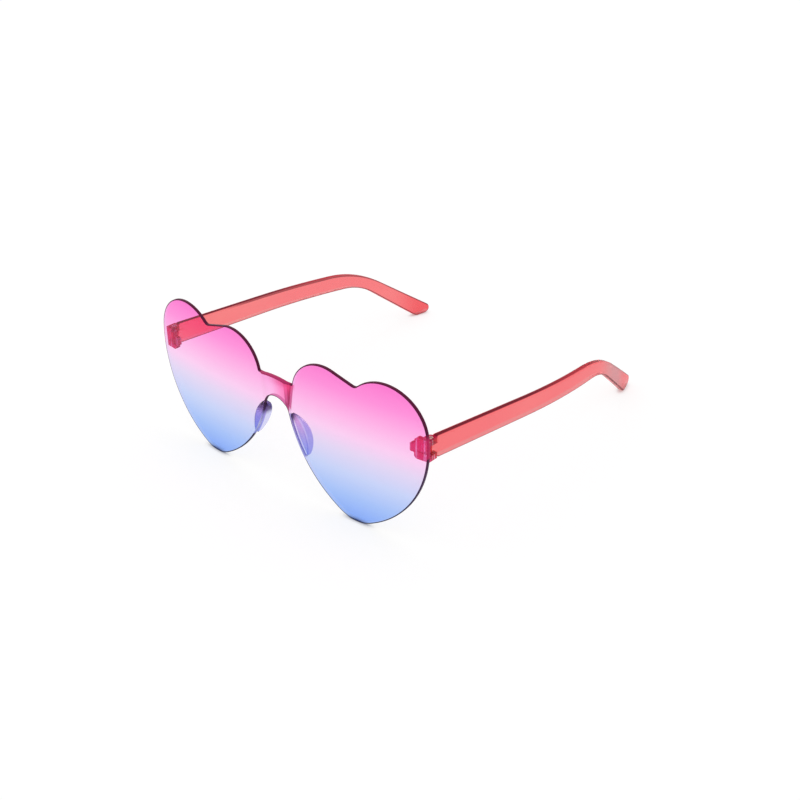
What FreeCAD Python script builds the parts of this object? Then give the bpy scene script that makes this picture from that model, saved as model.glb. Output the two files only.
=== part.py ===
import FreeCAD, Part
import math
import os
import Sketcher

# Heart shaped rimless sunglasses in millimetres: +X to the right seen from the front,
# the lens faces -Y, the temples run back along +Y and the heart tips stand on z = 0.

sizes = {
    # lens outline, its places across and up shared out over the front's width and height
    "front_width": 145.8,
    "heart_height": 64.9,
    "outer_flank_radius": 45.8,
    "outer_flank_height": 42.7,
    "outer_lobe_radius": 18.6,
    "tip_radius": 15.8,
    "nose_gap": 10.2,
    "nose_flank_radius": 53.7,
    "nose_arch_spare": 1.7,
    "inner_lobe_gap": 17.8,
    "inner_lobe_radius": 16.1,
    "inner_lobe_top": 63.0,
    "lobe_step": 1.9,
    "cleft_place": 39.9,
    "cleft_to_side": 33.0,
    "cleft_radius": 2.4,
    "bridge_top": 50.6,
    "bridge_top_radius": 41.0,
    "notch_radius": 0.5,
    # lens sheet and its raised bridge, which fades out towards the nose
    "lens_thick": 1.3,
    "lens_curve": 560.0,
    "blank_margin": 3.0,
    "bridge_rise": 1.2,
    "bridge_hollow": 0.6,
    "bridge_half": 8.5,
    "bridge_flank": 2.2,
    "bridge_depth": 11.2,
    "bridge_low_rise": 0.15,
    "bridge_low_hollow": 0.08,
    "bridge_low_half": 6.6,
    "bridge_low_flank": 0.6,
    "bond_gap": 0.08,
    # nose pads
    "pad_length": 14.2,
    "pad_top_corner": 1.4,
    "pad_low_corner": 1.2,
    "pad_belly_spare": 10.0,
    "pad_overhang": 0.6,
    "pad_thick": 4.2,
    "pad_round": 1.1,
    # hinge
    "hinge_inset": 2.3,
    "hinge_drop": 0.45,
    "base_wall": 0.95,
    "base_rear": 1.6,
    "base_inner": 4.6,
    "end_height": 8.8,
    "end_corner": 1.4,
    "tab_reach": 1.9,
    "tab_height": 3.6,
    "tab_drop": 0.1,
    "tab_corner": 0.5,
    "ear_radius": 2.0,
    "knuckle_radius": 1.8,
    "knuckle_height": 4.0,
    "knuckle_gap": 0.2,
    "joint_gap": 0.15,
    "small_corner": 0.4,
    # hinge screw
    "screw_radius": 0.6,
    "screw_play": 0.05,
    "head_radius": 1.15,
    "head_height": 0.7,
    "head_play": 0.1,
    "driver_slot": 0.35,
    "driver_depth": 0.3,
    # temples
    "temple_thick": 3.0,
    "temple_front": 8.9,
    "temple_reach": 167.0,
    "temple_corner": 0.8,
    "crown_back": 67.3,
    "crown_height": 36.7,
    "crown_radius": 65.1,
    "bend_back": 56.3,
    "bend_depth": 8.7,
    "bend_radius": 34.8,
    "heel_back": 6.8,
    "heel_radius": 3.5,
    "tip_end_radius": 2.6,
    "tip_end_height": 2.9,
    "splay": 0.048,
    "bow_start": 62.0,
    "bow_radius": 315.0,
    "bow_spare": 8.0,
    "temple_round": 0.6,
}

# Distance below which two points count as one.
near_enough = 1e-3

doc = FreeCAD.newDocument("heart_sunglasses")
sheet = doc.addObject("Spreadsheet::Sheet", "Sizes")
for row, (alias, number) in enumerate(sizes.items(), start=1):
    sheet.set(f"A{row}", alias)
    sheet.set(f"B{row}", str(number))
    sheet.setAlias(f"B{row}", alias)
doc.recompute()


def value(text):
    """Number that an expression over the sheet's sizes gives."""
    found = sheet.evalExpression(text)
    return float(getattr(found, "Value", found))


def named(alias):
    return f"Sizes.{alias}"


# Outline sizes shared out: heights go with the hearts, lobes with the front.
wide = "(Sizes.front_width / 2 / (Sizes.cleft_place + Sizes.cleft_to_side))"
tall = "(Sizes.heart_height / (Sizes.inner_lobe_top + Sizes.lobe_step))"
flank_r = f"(Sizes.outer_flank_radius * {tall})"
flank_z = f"(Sizes.outer_flank_height * {tall})"
tip_r = f"(Sizes.tip_radius * {tall})"
nose_r = f"(Sizes.nose_flank_radius * {tall})"
arch_r = "(Sizes.nose_gap / 2 + Sizes.nose_arch_spare)"
lobe_r = f"(Sizes.outer_lobe_radius * {wide})"
inner_r = f"(Sizes.inner_lobe_radius * {wide})"
cleft_r = f"(Sizes.cleft_radius * {wide})"

# Places that follow from the outline's sizes.
half_width = "(Sizes.front_width / 2)"
outer_x = f"({half_width} - {flank_r})"
tip_x = f"({outer_x} + sqrt(({flank_r} - {tip_r})^2 - ({flank_z} - {tip_r})^2))"
lobe_z = f"(Sizes.heart_height - {lobe_r})"
lobe_x = f"({outer_x} + sqrt(({flank_r} - {lobe_r})^2 - ({lobe_z} - {flank_z})^2))"
cleft_x = f"(Sizes.cleft_place * {wide})"
cleft_z = f"({lobe_z} + sqrt(({lobe_r} + {cleft_r})^2 - ({lobe_x} - {cleft_x})^2))"
nose_x = f"(Sizes.nose_gap / 2 + {nose_r})"
nose_z = f"({tip_r} + sqrt(({nose_r} - {tip_r})^2 - ({nose_x} - {tip_x})^2))"
arch_z = f"({nose_z} - sqrt(({nose_r} + {arch_r})^2 - {nose_x}^2))"
inner_x = f"(Sizes.inner_lobe_gap / 2 * {wide} + {inner_r})"
inner_z = f"(Sizes.inner_lobe_top * {tall} - {inner_r})"
bridge_z = f"(Sizes.bridge_top * {tall})"

# Places of the hinge, from the lens edge and the lens back.
hinge_x = f"({half_width} - Sizes.hinge_inset)"
hinge_z = f"({flank_z} - Sizes.hinge_drop)"
lens_back = f"(Sizes.lens_curve - sqrt((Sizes.lens_curve - Sizes.lens_thick)^2 - {hinge_x}^2))"
hinge_y = (f"({lens_back} + Sizes.bond_gap + Sizes.base_wall"
           " + Sizes.knuckle_gap + Sizes.knuckle_radius)")
outer_side = f"({hinge_x} + Sizes.knuckle_radius)"
inner_side = f"({outer_side} - Sizes.temple_thick)"
joint_y = f"({hinge_y} + Sizes.ear_radius + Sizes.joint_gap)"
end_top = f"({hinge_z} + Sizes.end_height / 2)"
end_low = f"({hinge_z} - Sizes.end_height / 2)"
middle_y = "((Sizes.temple_reach - Sizes.bridge_rise) / 2)"


def circle(x, y, radius, turn=1, hold="xyr"):
    """One rounding of an outline; hold names what is dimensioned and not left to tangency."""
    return {"x": x, "y": y, "radius": radius, "turn": turn, "hold": hold}


def mirrored(circles):
    flipped = [dict(one, x=f"(-({one['x']}))") for one in circles]
    return flipped[::-1]


def touching(first, first_radius, second, second_radius, side):
    """Crossing point of two circles, on the given side of the line between their centres."""
    across = (second - first).Length
    along = (across**2 + first_radius**2 - second_radius**2) / (2 * across)
    away = math.sqrt(first_radius**2 - along**2)
    run = (second - first).normalize()
    return first + run * along + FreeCAD.Vector(-run.y, run.x, 0) * away * side


def belt(circles):
    """Closed outline of arcs and their common tangents, in order, with the solid on the left."""
    rounds = []
    for one in circles:
        centre = FreeCAD.Vector(value(one["x"]), value(one["y"]), 0)
        rounds.append((centre, value(one["radius"]) * one["turn"]))
    leave = []
    arrive = [None] * len(rounds)
    for place, (centre, signed) in enumerate(rounds):
        after = (place + 1) % len(rounds)
        next_centre, next_signed = rounds[after]
        gap = next_centre - centre
        rise = next_signed - signed
        run = math.sqrt(max(gap.Length**2 - rise**2, 0))
        angle = math.atan2(gap.y, gap.x) - math.atan2(rise, run)
        normal = FreeCAD.Vector(-math.sin(angle), math.cos(angle), 0)
        leave.append(centre - normal * signed)
        arrive[after] = next_centre - normal * next_signed
    return [(rounds[i][0], abs(rounds[i][1]), arrive[i], leave[i]) for i in range(len(rounds))]


def dimension(sketch, kind, place, text, point=3):
    """Radius, or distance from the origin to a point (3 is a centre), bound to the sheet."""
    if kind == "Radius":
        rule = Sketcher.Constraint("Radius", place, value(text))
    else:
        rule = Sketcher.Constraint(kind, -1, 1, place, point, value(text))
    index = sketch.addConstraint(rule)
    sketch.setExpression(f"Constraints[{index}]", text)


def draw_belt(sketch, circles):
    outline = belt(circles)
    chain = []
    for place, (centre, radius, start, end) in enumerate(outline):
        turn = circles[place]["turn"]
        first = math.atan2(start.y - centre.y, start.x - centre.x)
        last = math.atan2(end.y - centre.y, end.x - centre.x)
        whole = Part.Circle(centre, FreeCAD.Vector(0, 0, 1), radius)
        if turn > 0:
            arc = sketch.addGeometry(Part.ArcOfCircle(whole, first, last))
            chain.append((arc, 1, 2))
        else:
            arc = sketch.addGeometry(Part.ArcOfCircle(whole, last, first))
            chain.append((arc, 2, 1))
        circles[place]["arc"] = arc
        onward = outline[(place + 1) % len(outline)][2]
        if (onward - end).Length > near_enough:
            chain.append((sketch.addGeometry(Part.LineSegment(end, onward)), 1, 2))
    joints = []
    for place, (shape, _, end) in enumerate(chain):
        after, start, _ = chain[(place + 1) % len(chain)]
        joints.append(Sketcher.Constraint("Tangent", shape, end, after, start))
    sketch.addConstraint(joints)
    for one in circles:
        if "r" in one["hold"]:
            dimension(sketch, "Radius", one["arc"], one["radius"])
        if "x" in one["hold"]:
            dimension(sketch, "DistanceX", one["arc"], one["x"])
        if "y" in one["hold"]:
            dimension(sketch, "DistanceY", one["arc"], one["y"])


def draw_polygon(sketch, corners):
    """Closed outline of straight sides between corners given as expressions."""
    points = [FreeCAD.Vector(value(x), value(y), 0) for x, y in corners]
    count = len(points)
    lines = []
    for place, point in enumerate(points):
        lines.append(sketch.addGeometry(Part.LineSegment(point, points[(place + 1) % count])))
    for place, line in enumerate(lines):
        after = lines[(place + 1) % count]
        sketch.addConstraint(Sketcher.Constraint("Coincident", line, 2, after, 1))
    for line, (x, y) in zip(lines, corners):
        dimension(sketch, "DistanceX", line, x, 1)
        dimension(sketch, "DistanceY", line, y, 1)


def draw_box(sketch, x_low, x_high, y_low, y_high):
    draw_polygon(sketch, [(x_low, y_low), (x_high, y_low), (x_high, y_high), (x_low, y_high)])


def draw_round(sketch, x, y, radius):
    centre = FreeCAD.Vector(value(x), value(y), 0)
    round_edge = sketch.addGeometry(Part.Circle(centre, FreeCAD.Vector(0, 0, 1), value(radius)))
    dimension(sketch, "Radius", round_edge, radius)
    dimension(sketch, "DistanceX", round_edge, x)
    dimension(sketch, "DistanceY", round_edge, y)


def draw_arc_strip(sketch, x_low, x_high, front, back):
    """Strip of the lens sheet seen from above; a side is an arc about the curve's centre or a line."""
    centre = FreeCAD.Vector(0, value(named("lens_curve")), 0)
    corners = []
    for x, side in ((x_low, front), (x_high, front), (x_high, back), (x_low, back)):
        at = value(x)
        y = value(side[1])
        if side[0] == "arc":
            y = centre.y - math.sqrt(y**2 - at**2)
        corners.append(FreeCAD.Vector(at, y, 0))
    shapes = []
    for place in range(4):
        start = corners[place]
        end = corners[(place + 1) % 4]
        side = {0: front, 2: back}.get(place, ("line", None))
        if side[0] == "line":
            shapes.append((sketch.addGeometry(Part.LineSegment(start, end)), 1, 2))
            continue
        whole = Part.Circle(centre, FreeCAD.Vector(0, 0, 1), value(side[1]))
        low, high = (start, end) if start.x < end.x else (end, start)
        first = math.atan2(low.y - centre.y, low.x - centre.x)
        last = math.atan2(high.y - centre.y, high.x - centre.x)
        arc = sketch.addGeometry(Part.ArcOfCircle(whole, first, last))
        shapes.append((arc, 1, 2) if start.x < end.x else (arc, 2, 1))
        dimension(sketch, "Radius", arc, side[1])
        sketch.addConstraint(Sketcher.Constraint("PointOnObject", arc, 3, -2))
        dimension(sketch, "DistanceY", arc, named("lens_curve"))
    for place, (shape, _, end) in enumerate(shapes):
        after, start, _ = shapes[(place + 1) % 4]
        sketch.addConstraint(Sketcher.Constraint("Coincident", shape, end, after, start))
    for place, text in ((0, x_low), (1, x_high)):
        shape, start, _ = shapes[place]
        dimension(sketch, "DistanceX", shape, text, start)
    for place in (1, 3):
        sketch.addConstraint(Sketcher.Constraint("Vertical", shapes[place][0]))
    if front[0] == "line":
        sketch.addConstraint(Sketcher.Constraint("Horizontal", shapes[0][0]))
        dimension(sketch, "DistanceY", shapes[0][0], front[1], 1)


def new_body(label):
    body = doc.addObject("PartDesign::Body", label)
    body.Label = label
    body.setExpression("Placement.Base.y", f"-{middle_y}")
    return body


def new_sketch(body, name, role, lift="0"):
    sketch = body.newObject("Sketcher::SketchObject", name)
    plane = next(part for part in body.Origin.OriginFeatures if part.Role == role)
    sketch.AttachmentSupport = [(plane, "")]
    sketch.MapMode = "FlatFace"
    if lift != "0":
        sketch.setExpression("AttachmentOffset.Base.z", lift)
    return sketch


def pad(body, name, sketch, length, reverse=False):
    solid = body.newObject("PartDesign::Pad", name)
    solid.Profile = sketch
    solid.setExpression("Length", length)
    solid.Reversed = reverse
    return solid


def pocket(body, name, sketch, depth=None, reverse=False):
    """Cut to a depth, or right through both ways where no depth is given."""
    cut = body.newObject("PartDesign::Pocket", name)
    cut.Profile = sketch
    if depth is None:
        cut.Type = "ThroughAll"
        cut.SideType = "Symmetric"
    else:
        cut.setExpression("Length", depth)
        cut.Reversed = reverse
    return cut


def heart_outline():
    """Roundings of the double heart, from the nose arch round the right heart and back."""
    lobe = FreeCAD.Vector(value(inner_x), value(inner_z), 0)
    notch_radius = value(named("notch_radius"))
    top_z = f"({bridge_z} - Sizes.bridge_top_radius)"
    top = FreeCAD.Vector(0, value(top_z), 0)
    top_reach = value(named("bridge_top_radius")) + notch_radius
    notch = touching(top, top_reach, lobe, value(inner_r) + notch_radius, 1)
    right = [
        circle(nose_x, nose_z, nose_r, hold="xr"),
        circle(tip_x, tip_r, tip_r, hold="yr"),
        circle(outer_x, flank_z, flank_r),
        circle(lobe_x, lobe_z, lobe_r, hold="yr"),
        circle(cleft_x, cleft_z, cleft_r, turn=-1, hold="xr"),
        circle(inner_x, inner_z, inner_r),
        circle(str(notch.x), str(notch.y), named("notch_radius"), turn=-1, hold="r"),
    ]
    arch = circle("0", arch_z, arch_r, turn=-1, hold="r")
    crown = circle("0", top_z, named("bridge_top_radius"))
    return [arch] + right + [crown] + mirrored(right)


def bridge_section(half, flank, rise, back):
    """Corners of the raised bridge at one height, seen from above, shifted back by one wall."""
    front = f"({back} - {rise})"
    return [
        (f"(-{half})", back),
        (f"({flank} - {half})", front),
        (f"({half} - {flank})", front),
        (half, back),
        (half, f"({back} + Sizes.lens_thick / 2)"),
        (f"(-{half})", f"({back} + Sizes.lens_thick / 2)"),
    ]


def bridge_loft(body, kind, name, rise, back):
    """Bridge form between its top and low levels; rise names the size that lifts its front."""
    low_z = f"({bridge_z} - Sizes.bridge_depth)"
    sections = []
    for level, lift in (("bridge", bridge_z), ("bridge_low", low_z)):
        half = f"(Sizes.{level}_half * {wide})"
        section = new_sketch(body, f"{name}_{level}", "XY_Plane", lift)
        corners = bridge_section(half, named(f"{level}_flank"), named(f"{level}_{rise}"), back)
        draw_polygon(section, corners)
        sections.append(section)
    loft = body.newObject(kind, name)
    loft.Profile = sections[0]
    loft.Sections = sections[1:]
    loft.Ruled = True
    return loft


def make_lens():
    body = new_body("lens_front")
    reach = f"({half_width} + Sizes.blank_margin)"
    inside = "(Sizes.lens_curve - Sizes.lens_thick)"
    blank = new_sketch(body, "LensBlank", "XY_Plane", "-Sizes.blank_margin")
    draw_arc_strip(blank, f"(-{reach})", reach, ("arc", named("lens_curve")), ("arc", inside))
    pad(body, "LensSheet", blank, "Sizes.heart_height + 2 * Sizes.blank_margin")
    bridge_loft(body, "PartDesign::AdditiveLoft", "BridgeRise", "rise", "0")
    bridge_loft(body, "PartDesign::SubtractiveLoft", "BridgeHollow", "hollow", named("lens_thick"))
    trim = new_sketch(body, "HeartOutline", "XZ_Plane")
    high = "(Sizes.heart_height + 2 * Sizes.blank_margin)"
    wide = f"({half_width} + 2 * Sizes.blank_margin)"
    draw_box(trim, f"(-{wide})", wide, "(-2 * Sizes.blank_margin)", high)
    draw_belt(trim, heart_outline())
    pocket(body, "HeartTrim", trim)
    return body


def seat_on_lens(body, x_low, x_high):
    """Cuts a piece to the lens's back face, less the bond line."""
    seat = new_sketch(body, body.Label + "_seat", "XY_Plane")
    against = "(Sizes.lens_curve - Sizes.lens_thick - Sizes.bond_gap)"
    draw_arc_strip(seat, x_low, x_high, ("line", "(-Sizes.blank_margin)"), ("arc", against))
    pocket(body, body.Label + "_seating", seat)


def make_nose_pad(label, sided):
    body = new_body(label)
    nose_reach = f"({nose_r} + Sizes.pad_overhang)"
    pad_low = f"({arch_z} - Sizes.pad_length)"
    ends = []
    for height, corner in ((arch_z, "pad_top_corner"), (pad_low, "pad_low_corner")):
        reach = f"({nose_reach} - {named(corner)})"
        x = f"({nose_x} - sqrt({reach}^2 - ({nose_z} - {height})^2))"
        ends.append(circle(x, height, named(corner), hold="yr"))
    top, low = (FreeCAD.Vector(value(one["x"]), value(one["y"]), 0) for one in ends)
    belly_r = "(Sizes.pad_length / 2 + Sizes.pad_belly_spare)"
    top_reach = value(f"{belly_r} - Sizes.pad_top_corner")
    low_reach = value(f"{belly_r} - Sizes.pad_low_corner")
    belly = touching(low, low_reach, top, top_reach, 1)
    outline = [
        circle(nose_x, nose_z, nose_reach),
        ends[1],
        circle(str(belly.x), str(belly.y), belly_r, hold="r"),
        ends[0],
    ]
    shape = new_sketch(body, label + "_outline", "XZ_Plane")
    draw_belt(shape, sided(outline))
    thick = "(Sizes.lens_thick + Sizes.bond_gap + Sizes.pad_thick)"
    block = pad(body, label + "_block", shape, thick, reverse=True)
    doc.recompute()
    rim = [f"Edge{place}" for place, edge in enumerate(block.Shape.Edges, start=1)
           if edge.BoundBox.YMin > value(thick) - near_enough]
    rounding = body.newObject("PartDesign::Fillet", label + "_dome")
    rounding.Base = (block, rim)
    rounding.setExpression("Radius", named("pad_round"))
    edge = f"({half_width} + Sizes.blank_margin)"
    seat_on_lens(body, f"(-{edge})", edge)
    return body


def make_end_piece(label, side, sided):
    body = new_body(label)
    base_left = f"({hinge_x} - Sizes.base_inner)"
    tab_left = f"({base_left} - Sizes.tab_reach)"
    tab_z = f"({hinge_z} - Sizes.tab_drop)"
    corner = named("end_corner")
    small = named("tab_corner")
    outline = [
        circle(f"({base_left} + {corner})", f"({end_low} + {corner})", corner),
        circle(f"({outer_side} - {corner})", f"({end_low} + {corner})", corner),
        circle(f"({outer_side} - {corner})", f"({end_top} - {corner})", corner),
        circle(f"({base_left} + {corner})", f"({end_top} - {corner})", corner),
        circle(f"({base_left} - {small})", f"({tab_z} + Sizes.tab_height / 2 + {small})", small, turn=-1),
        circle(f"({tab_left} + {small})", f"({tab_z} + Sizes.tab_height / 2 - {small})", small),
        circle(f"({tab_left} + {small})", f"({tab_z} - Sizes.tab_height / 2 + {small})", small),
        circle(f"({base_left} - {small})", f"({tab_z} - Sizes.tab_height / 2 - {small})", small, turn=-1),
    ]
    face = new_sketch(body, label + "_face", "XZ_Plane")
    draw_belt(face, sided(outline))
    rear = f"({lens_back} + Sizes.bond_gap + Sizes.base_rear)"
    pad(body, label + "_base", face, rear, reverse=True)
    corner = named("small_corner")
    ear_left = f"({hinge_x} - Sizes.ear_radius)"
    ears = [
        circle(f"({ear_left} + {corner})", f"({lens_back} + {corner})", corner),
        circle(f"({outer_side} - {corner})", f"({lens_back} + {corner})", corner),
        circle(f"({outer_side} - {corner})", f"({hinge_y} + Sizes.ear_radius - {corner})", corner),
        circle(hinge_x, hinge_y, named("ear_radius")),
    ]
    plan = new_sketch(body, label + "_ear_plan", "XY_Plane", end_low)
    draw_belt(plan, sided(ears))
    pad(body, label + "_ears", plan, named("end_height"))
    slot_height = "(Sizes.knuckle_height + 2 * Sizes.joint_gap)"
    slot = new_sketch(body, label + "_slot_plan", "XY_Plane", f"{hinge_z} + {slot_height} / 2")
    floor = f"({hinge_y} - Sizes.knuckle_radius - Sizes.knuckle_gap)"
    near = f"{side} * ({base_left} - Sizes.blank_margin)"
    far = f"{side} * ({outer_side} + Sizes.blank_margin)"
    draw_box(slot, near, far, floor, f"({joint_y} + Sizes.blank_margin)")
    pocket(body, label + "_slot", slot, slot_height)
    bore = new_sketch(body, label + "_bore_plan", "XY_Plane")
    draw_round(bore, f"{side} * {hinge_x}", hinge_y, "Sizes.screw_radius + Sizes.screw_play")
    pocket(body, label + "_bore", bore)
    sink = new_sketch(body, label + "_sink_plan", "XY_Plane", end_top)
    draw_round(sink, f"{side} * {hinge_x}", hinge_y, "Sizes.head_radius + Sizes.head_play")
    pocket(body, label + "_sink", sink, named("head_height"))
    low = f"{side} * ({tab_left} - Sizes.blank_margin)"
    seat_on_lens(body, *((low, far) if side > 0 else (far, low)))
    return body


def make_temple(label, side, sided):
    body = new_body(label)
    corner = named("temple_corner")
    front_low = f"({hinge_z} - Sizes.temple_front / 2)"
    front_top = f"({hinge_z} + Sizes.temple_front / 2)"
    crown_y = "(Sizes.temple_reach - Sizes.crown_back)"
    crown_z = "(Sizes.crown_height - Sizes.crown_radius)"
    bend_y = "(Sizes.temple_reach - Sizes.bend_back)"
    bend_z = "(Sizes.crown_height - Sizes.bend_depth - Sizes.bend_radius)"
    heel_y = "(Sizes.temple_reach - Sizes.heel_back)"
    end_y = "(Sizes.temple_reach - Sizes.tip_end_radius)"
    profile = [
        circle(f"({joint_y} + {corner})", f"({front_low} + {corner})", corner),
        circle(bend_y, bend_z, named("bend_radius"), turn=-1),
        circle(heel_y, named("heel_radius"), named("heel_radius")),
        circle(end_y, named("tip_end_height"), named("tip_end_radius")),
        circle(crown_y, crown_z, named("crown_radius")),
        circle(f"({joint_y} + {corner})", f"({front_top} - {corner})", corner),
    ]
    elevation = new_sketch(body, label + "_elevation", "YZ_Plane")
    draw_belt(elevation, profile)
    pad(body, label + "_blank", elevation, f"({outer_side} + 2 * Sizes.blank_margin)", reverse=side < 0)
    half = "(Sizes.temple_thick / 2)"
    slant = "sqrt(1 + Sizes.splay^2)"
    splayed = f"({outer_side} - {half} + Sizes.splay * (Sizes.bow_start - {joint_y}))"
    bow_x = f"({splayed} - Sizes.bow_radius / {slant})"
    bow_y = f"(Sizes.bow_start + Sizes.bow_radius * Sizes.splay / {slant})"
    past_y = "(Sizes.temple_reach + Sizes.bow_spare)"
    past_x = f"({bow_x} + sqrt(Sizes.bow_radius^2 - ({past_y} - {bow_y})^2))"
    corner = named("small_corner")
    front_y = f"({joint_y} - Sizes.blank_margin)"
    band = [
        circle(f"({outer_side} - {corner})", f"({front_y} + {corner})", corner),
        circle(bow_x, bow_y, f"(Sizes.bow_radius + {half})"),
        circle(past_x, past_y, half, hold="y"),
        circle(bow_x, bow_y, f"(Sizes.bow_radius - {half})", turn=-1),
        circle(f"({inner_side} + {corner})", f"({front_y} + {corner})", corner),
    ]
    plan = new_sketch(body, label + "_plan", "XY_Plane")
    wide = f"({outer_side} + 4 * Sizes.blank_margin)"
    across = (f"(-{wide})", wide)
    draw_box(plan, *across, f"({front_y} - Sizes.blank_margin)", f"({past_y} + 2 * Sizes.blank_margin)")
    draw_belt(plan, sided(band))
    bowed = pocket(body, label + "_bow", plan)
    rounding = body.newObject("PartDesign::Fillet", label + "_rounding")
    rounding.Base = (bowed, [""])
    rounding.UseAllEdges = True
    rounding.setExpression("Radius", named("temple_round"))
    tongue_rear = f"({joint_y} + Sizes.temple_corner + {corner})"
    tongue = [
        circle(hinge_x, hinge_y, named("knuckle_radius")),
        circle(f"({outer_side} - {corner})", tongue_rear, corner),
        circle(f"({inner_side} + {corner})", tongue_rear, corner),
    ]
    knuckle_low = f"{hinge_z} - Sizes.knuckle_height / 2"
    knuckle = new_sketch(body, label + "_knuckle_plan", "XY_Plane", knuckle_low)
    draw_belt(knuckle, sided(tongue))
    pad(body, label + "_knuckle", knuckle, named("knuckle_height"))
    bore = new_sketch(body, label + "_bore_plan", "XY_Plane")
    draw_round(bore, f"{side} * {hinge_x}", hinge_y, "Sizes.screw_radius + Sizes.screw_play")
    pocket(body, label + "_bore", bore)
    return body


def make_screw(label, side):
    body = new_body(label)
    body.setExpression("Placement.Base.x", f"{side} * {hinge_x}")
    body.setExpression("Placement.Base.y", f"{hinge_y} - {middle_y}")
    profile = new_sketch(body, label + "_profile", "XZ_Plane")
    under_head = f"({end_top} - Sizes.head_height)"
    draw_polygon(profile, [
        ("0", end_low),
        (named("screw_radius"), end_low),
        (named("screw_radius"), under_head),
        (named("head_radius"), under_head),
        (named("head_radius"), end_top),
        ("0", end_top),
    ])
    turned = body.newObject("PartDesign::Revolution", label + "_turned")
    turned.Profile = profile
    turned.ReferenceAxis = (profile, ["V_Axis"])
    turned.Angle = 360
    slot = new_sketch(body, label + "_slot_plan", "XY_Plane", end_top)
    long = "(2 * Sizes.head_radius)"
    across = "(Sizes.driver_slot / 2)"
    draw_box(slot, f"(-{long})", long, f"(-{across})", across)
    pocket(body, label + "_slot", slot, named("driver_depth"))
    return body


parts = [make_lens()]
for name, side, sided in (("right", 1, list), ("left", -1, mirrored)):
    parts.append(make_nose_pad(f"nose_pad_{name}", sided))
    parts.append(make_end_piece(f"end_piece_{name}", side, sided))
    parts.append(make_temple(f"temple_{name}", side, sided))
    parts.append(make_screw(f"hinge_screw_{name}", side))
doc.recompute()

for item in doc.Objects:
    if "Invalid" in item.State or "Error" in item.State:
        raise RuntimeError(f"{item.Label} failed: {item.State}")
os.makedirs("parts", exist_ok=True)
for body in parts:
    if body.Shape.isNull() or not body.Shape.isValid() or len(body.Shape.Solids) != 1:
        raise RuntimeError(f"{body.Label} is not one valid solid")
    body.Shape.exportStep(f"parts/{body.Label}.step")
    box = body.Shape.BoundBox
    spans = f"x {box.XMin:.2f}..{box.XMax:.2f} y {box.YMin:.2f}..{box.YMax:.2f}"
    print(body.Label, f"volume {body.Shape.Volume:.1f} {spans} z {box.ZMin:.2f}..{box.ZMax:.2f}")
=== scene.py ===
import bmesh
import bpy
import math
import numpy as np
from mathutils import Matrix, Vector
from mathutils.bvhtree import BVHTree
from mathutils.geometry import delaunay_2d_cdt


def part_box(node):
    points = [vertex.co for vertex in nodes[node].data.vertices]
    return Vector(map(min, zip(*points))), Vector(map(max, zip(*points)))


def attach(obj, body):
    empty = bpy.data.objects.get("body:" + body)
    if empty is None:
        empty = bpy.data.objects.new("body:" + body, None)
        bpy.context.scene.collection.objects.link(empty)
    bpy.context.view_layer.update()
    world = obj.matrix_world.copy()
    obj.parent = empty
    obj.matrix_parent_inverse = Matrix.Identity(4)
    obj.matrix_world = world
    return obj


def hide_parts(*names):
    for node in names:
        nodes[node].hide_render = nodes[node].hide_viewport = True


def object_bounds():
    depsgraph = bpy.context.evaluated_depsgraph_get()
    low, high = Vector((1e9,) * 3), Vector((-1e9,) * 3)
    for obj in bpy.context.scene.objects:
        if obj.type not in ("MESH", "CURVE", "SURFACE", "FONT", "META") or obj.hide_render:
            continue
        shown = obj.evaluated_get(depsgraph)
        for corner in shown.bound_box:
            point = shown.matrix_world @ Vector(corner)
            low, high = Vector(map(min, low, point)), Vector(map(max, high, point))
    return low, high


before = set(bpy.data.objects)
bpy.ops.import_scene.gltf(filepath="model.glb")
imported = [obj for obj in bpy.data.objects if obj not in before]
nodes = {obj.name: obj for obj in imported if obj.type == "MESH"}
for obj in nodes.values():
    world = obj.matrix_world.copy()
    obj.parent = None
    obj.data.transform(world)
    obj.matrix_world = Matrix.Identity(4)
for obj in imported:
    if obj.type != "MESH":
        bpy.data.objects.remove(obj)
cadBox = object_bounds()
scene = bpy.context.scene
scene.view_settings.view_transform = "Standard"
print("frame loaded:", len(nodes), "nodes")


def tone(red, green, blue):  # a colour written 0-255, as a linear shader value
    def linear(part):
        part = part / 255
        return part / 12.92 if part <= 0.04045 else ((part + 0.055) / 1.055) ** 2.4
    return (linear(red), linear(green), linear(blue), 1.0)


class Wire:  # a shader socket that takes plain arithmetic
    def __init__(self, finish, socket):
        self.finish = finish
        self.socket = socket

    def math(self, operation, *parts):
        node = self.finish.add("ShaderNodeMath", {"operation": operation}, dict(enumerate(parts)))
        return self.finish.wire(node)

    def __add__(self, other):
        return self.math("ADD", self, other)

    def __sub__(self, other):
        return self.math("SUBTRACT", self, other)

    def __rsub__(self, other):
        return self.math("SUBTRACT", other, self)

    def __mul__(self, other):
        return self.math("MULTIPLY", self, other)

    def __truediv__(self, other):
        return self.math("DIVIDE", self, other)

    def __abs__(self):
        return self.math("ABSOLUTE", self)

    def most(self, other):
        return self.math("MAXIMUM", self, other)

    def step(self, low, high):  # 0 below low, 1 above high, eased between
        node = self.finish.add("ShaderNodeMapRange", {"interpolation_type": "SMOOTHSTEP"},
                               {"Value": self, "From Min": low, "From Max": high})
        return self.finish.wire(node)

    def between(self, low, lowFull, highFull, high):  # 1 inside, eased out towards both ends
        return self.step(low, lowFull) * (1 - self.step(highFull, high))

    def level(self, low, high):  # from low to high as this runs from 0 to 1
        return self * (high - low) + low


def addNode(tree, kind, settings=None, values=None):
    node = tree.nodes.new(kind)
    for name, setting in (settings or {}).items():
        setattr(node, name, setting)
    for key, value in (values or {}).items():
        source = value.socket if isinstance(value, Wire) else value
        if isinstance(source, bpy.types.NodeSocket):
            tree.links.new(source, node.inputs[key])
        else:
            node.inputs[key].default_value = source
    return node


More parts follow.
